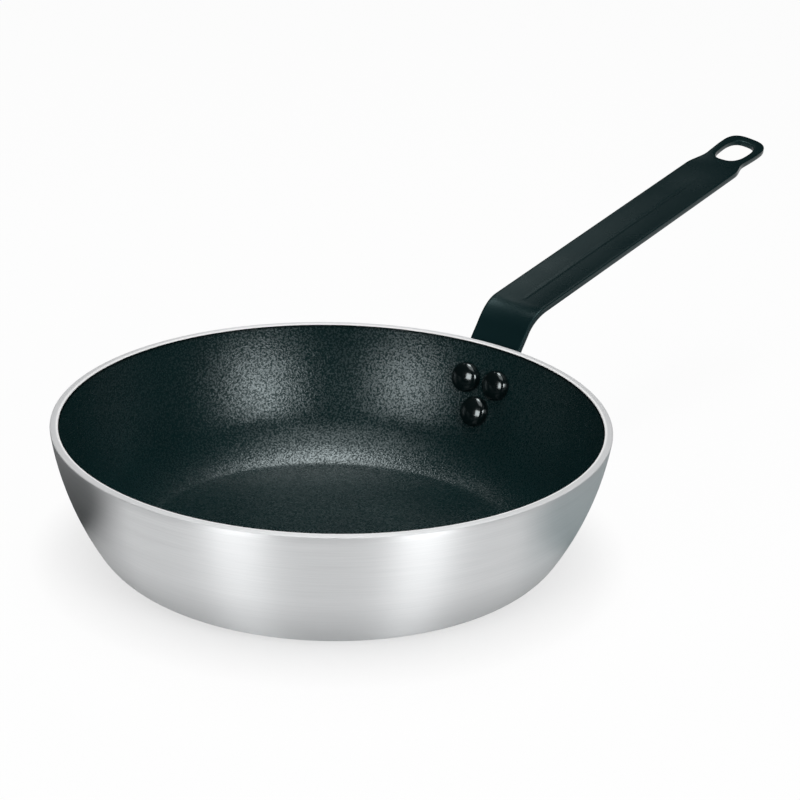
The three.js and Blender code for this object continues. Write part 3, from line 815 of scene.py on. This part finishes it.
def gloss_coated_rivet():
    """Rivet with a gloss black baked coat, which shows the lamps as small sharp lights."""
    material, surface = start_material("gloss_coated_rivet")
    tree = material.node_tree
    place = add_node(tree, "ShaderNodeTexCoord").outputs["Object"]
    peel_size = {"Scale": 1 / PEEL_SIZE, "Detail": SOME_DETAIL}
    peel = add_node(tree, "ShaderNodeTexNoise", peel_size, {"Vector": place}).outputs["Fac"]
    colour = worn_coat(tree, "#071112", "#0f1a1b")
    gloss = ends(MOST_NOISE, RIVET_ROUGHNESS)
    rough = add_node(tree, "ShaderNodeMapRange", gloss, {"Value": peel}).outputs[0]
    relief = {"Strength": RIVET_PEEL_BUMP, "Distance": PEEL_DEPTH}
    bump = add_node(tree, "ShaderNodeBump", relief, {"Height": peel}).outputs[0]
    surface.inputs["Specular IOR Level"].default_value = RIVET_SPECULAR
    surface.inputs["Specular Tint"].default_value = linear("#f4feff")
    feed(tree, surface, {"Base Color": colour, "Roughness": rough, "Normal": bump})
    return material


def make_camera():
    """The camera, aimed a little above the pan, so that pan and handle fill the picture."""
    camera = bpy.data.objects.new("camera", bpy.data.cameras.new("camera"))
    bpy.context.scene.collection.objects.link(camera)
    camera.data.lens = CAMERA_LENS
    turn = Euler((0, 0, CAMERA_HEADING - math.pi / 2)).to_matrix()
    tilt = Euler((math.pi / 2 + CAMERA_PITCH, 0, 0)).to_matrix()
    roll = Euler((0, 0, CAMERA_ROLL)).to_matrix()
    camera.rotation_euler = (turn @ tilt @ roll).to_euler()
    back = turn @ tilt @ Vector((0, 0, 1))
    camera.location = CAMERA_AIM + CAMERA_DISTANCE * back
    bpy.context.scene.camera = camera


def around(azimuth, elevation, distance, centre):
    """Point at that distance from the centre. Azimuth 0 is the camera's side, and it grows to the right."""
    heading = CAMERA_HEADING + math.pi + math.radians(azimuth)
    rise = math.radians(elevation)
    level = math.cos(rise)
    direction = Vector((math.cos(heading) * level, math.sin(heading) * level, math.sin(rise)))
    return centre + distance * direction


def add_softbox(name, azimuth, elevation, distance, width, height, radiance):
    """A soft light aimed at the pan."""
    centre = Vector((0, 0, PAN_HEIGHT / 2))
    lamp = bpy.data.lights.new(name, "AREA")
    lamp.shape = "RECTANGLE"
    lamp.size = width
    lamp.size_y = height
    lamp.energy = radiance * math.pi * width * height
    light = bpy.data.objects.new(name, lamp)
    bpy.context.scene.collection.objects.link(light)
    light.location = around(azimuth, elevation, distance, centre)
    light.rotation_euler = (light.location - centre).to_track_quat("Z", "Y").to_euler()
    light.visible_camera = False


def add_mirrored_shade_card(name, azimuth, distance, depth, width, tone):
    """A card on the floor beside the pan, seen only in reflections: a painted reflection of shade, darker
    than the white floor.
    """
    bpy.ops.object.select_all(action="DESELECT")
    bpy.ops.mesh.primitive_plane_add(size=1)
    shade_card = bpy.context.active_object
    shade_card.name = name
    shade_card.location = around(azimuth, 0, distance, Vector((0, 0, SHADE_CARD_LIFT)))
    shade_card.rotation_euler.z = CAMERA_HEADING + math.radians(azimuth)
    shade_card.scale = (depth, width, 1)
    material, surface = start_material(name)
    surface.inputs["Base Color"].default_value = linear(tone)
    surface.inputs["Roughness"].default_value = PAPER_ROUGHNESS
    shade_card.data.materials.append(material)
    shade_card.visible_camera = False
    shade_card.visible_diffuse = False
    shade_card.visible_shadow = False


def make_world():
    """A dim studio: dark near the floor and paler overhead."""
    world = bpy.data.worlds.new("studio")
    bpy.context.scene.world = world
    world.use_nodes = True
    tree = world.node_tree
    view = add_node(tree, "ShaderNodeTexCoord").outputs["Generated"]
    height = add_node(tree, "ShaderNodeSeparateXYZ", links={0: view}).outputs["Z"]
    rise = [math.sin(math.radians(angle)) for angle in WORLD_RISE]
    level = add_node(tree, "ShaderNodeMapRange", ends(rise, WORLD_LEVEL), {"Value": height}).outputs[0]
    background = tree.nodes["Background"]
    background.inputs["Color"].default_value = linear("#ffffff")
    feed(tree, background, {"Strength": level})


def make_floor():
    """White paper. Seen straight or mirrored it is mostly plain white, and it keeps the pan's shadow."""
    bpy.ops.object.select_all(action="DESELECT")
    bpy.ops.mesh.primitive_plane_add(size=FLOOR_SIZE)
    floor = bpy.context.active_object
    floor.name = "floor"
    material, surface = start_material("white_paper")
    tree = material.node_tree
    surface.inputs["Base Color"].default_value = linear("#f2f2f2")
    surface.inputs["Roughness"].default_value = PAPER_ROUGHNESS
    path = add_node(tree, "ShaderNodeLightPath")
    ways = {
        "Is Camera Ray": SEEN_SHADOW,
        "Is Glossy Ray": MIRRORED_SHADOW,
        "Is Transmission Ray": SEEN_SHADOW,
    }
    shares = []
    for way, (reach, shadow) in ways.items():
        open_sky = add_node(tree, "ShaderNodeAmbientOcclusion", {"Distance": reach}).outputs["AO"]
        lit = ends((0, 1), (shadow * FLOOR_WHITE_SHARE, FLOOR_WHITE_SHARE))
        plain = add_node(tree, "ShaderNodeMapRange", lit, {"Value": open_sky}).outputs[0]
        seen = {0: path.outputs[way], 1: plain}
        shares.append(add_node(tree, "ShaderNodeMath", {"operation": "MULTIPLY"}, seen).outputs[0])
    share = shares[0]
    for other in shares[1:]:
        share = add_node(tree, "ShaderNodeMath", {"operation": "MAXIMUM"}, {0: share, 1: other}).outputs[0]
    white = add_node(tree, "ShaderNodeEmission", {"Strength": 1}).outputs[0]
    mixed = {0: share, 1: surface.outputs[0], 2: white}
    paper = add_node(tree, "ShaderNodeMixShader", links=mixed).outputs[0]
    feed(tree, tree.nodes["Material Output"], {"Surface": paper})
    floor.data.materials.append(material)


make_camera()
for softbox_name, softbox in SOFTBOXES.items():
    add_softbox(softbox_name, *softbox)
for shade_card_name, card in MIRRORED_SHADE_CARDS.items():
    add_mirrored_shade_card(shade_card_name, *card)
make_world()
make_floor()
make_shell(spun_aluminium())
make_lining(sprayed_nonstick())
make_rivets(gloss_coated_rivet())
make_handle(satin_coated_steel())

bpy.context.scene.view_settings.view_transform = "Standard"
